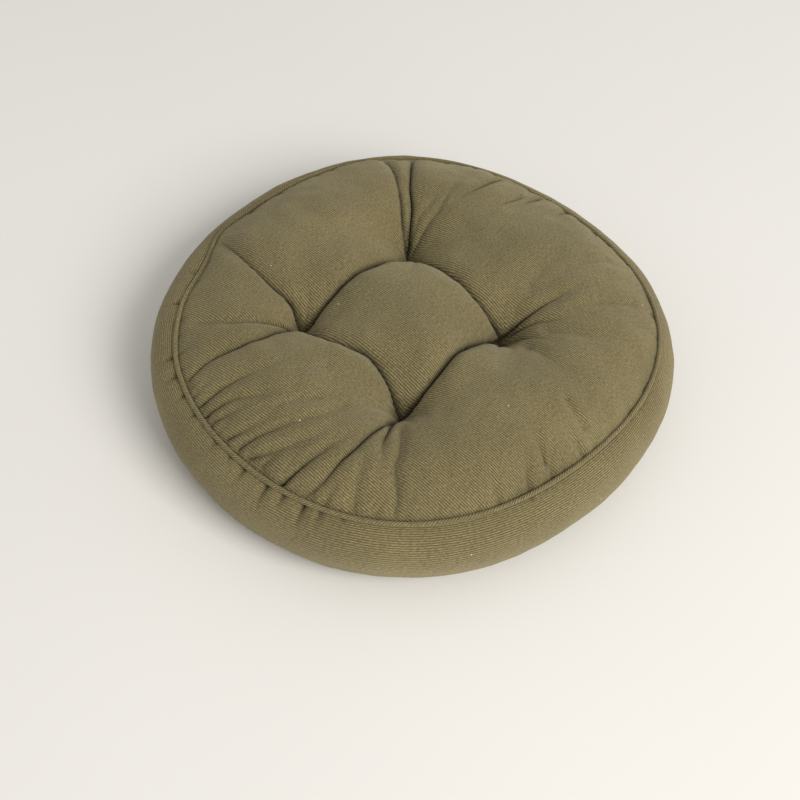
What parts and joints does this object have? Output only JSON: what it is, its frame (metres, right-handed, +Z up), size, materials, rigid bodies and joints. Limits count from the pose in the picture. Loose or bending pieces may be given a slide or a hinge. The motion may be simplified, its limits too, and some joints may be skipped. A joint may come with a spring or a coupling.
{
  "type": "floor cushion",
  "caption": "Round box-edge floor cushion in olive needlecord, with self-piped seams and deep stitched tufts through a fibre filling.",
  "frame": {"origin": "on the floor, under the middle of the cushion", "axes": "+Z up through the cushion; -Y towards the side that the picture is taken from, and +Y towards the back, where the band is joined"},
  "size_m": [0.5992, 0.5992, 0.126],
  "materials": {
    "needlecord": "matt, finely ribbed cotton corduroy",
    "piping_cord": "matt, undyed twisted cotton",
    "thread": "matt spun polyester",
    "fibre": "matt white polyester fibre",
    "twine": "matt waxed twine"
  },
  "bodies": {
    "root": {"top_panel": "needlecord", "bottom_panel": "needlecord", "side_band": "needlecord", "upper_piping_cover": "needlecord", "lower_piping_cover": "needlecord", "upper_piping_cord": "piping_cord", "lower_piping_cord": "piping_cord", "upper_seam_thread": "thread", "lower_seam_thread": "thread", "closing_thread": "thread", "band_join_thread": "thread", "fibre_filling": "fibre", "tuft_tie_right": "twine", "tuft_tie_back": "twine", "tuft_tie_left": "twine", "tuft_tie_front": "twine"}
  },
  "joints": []
}
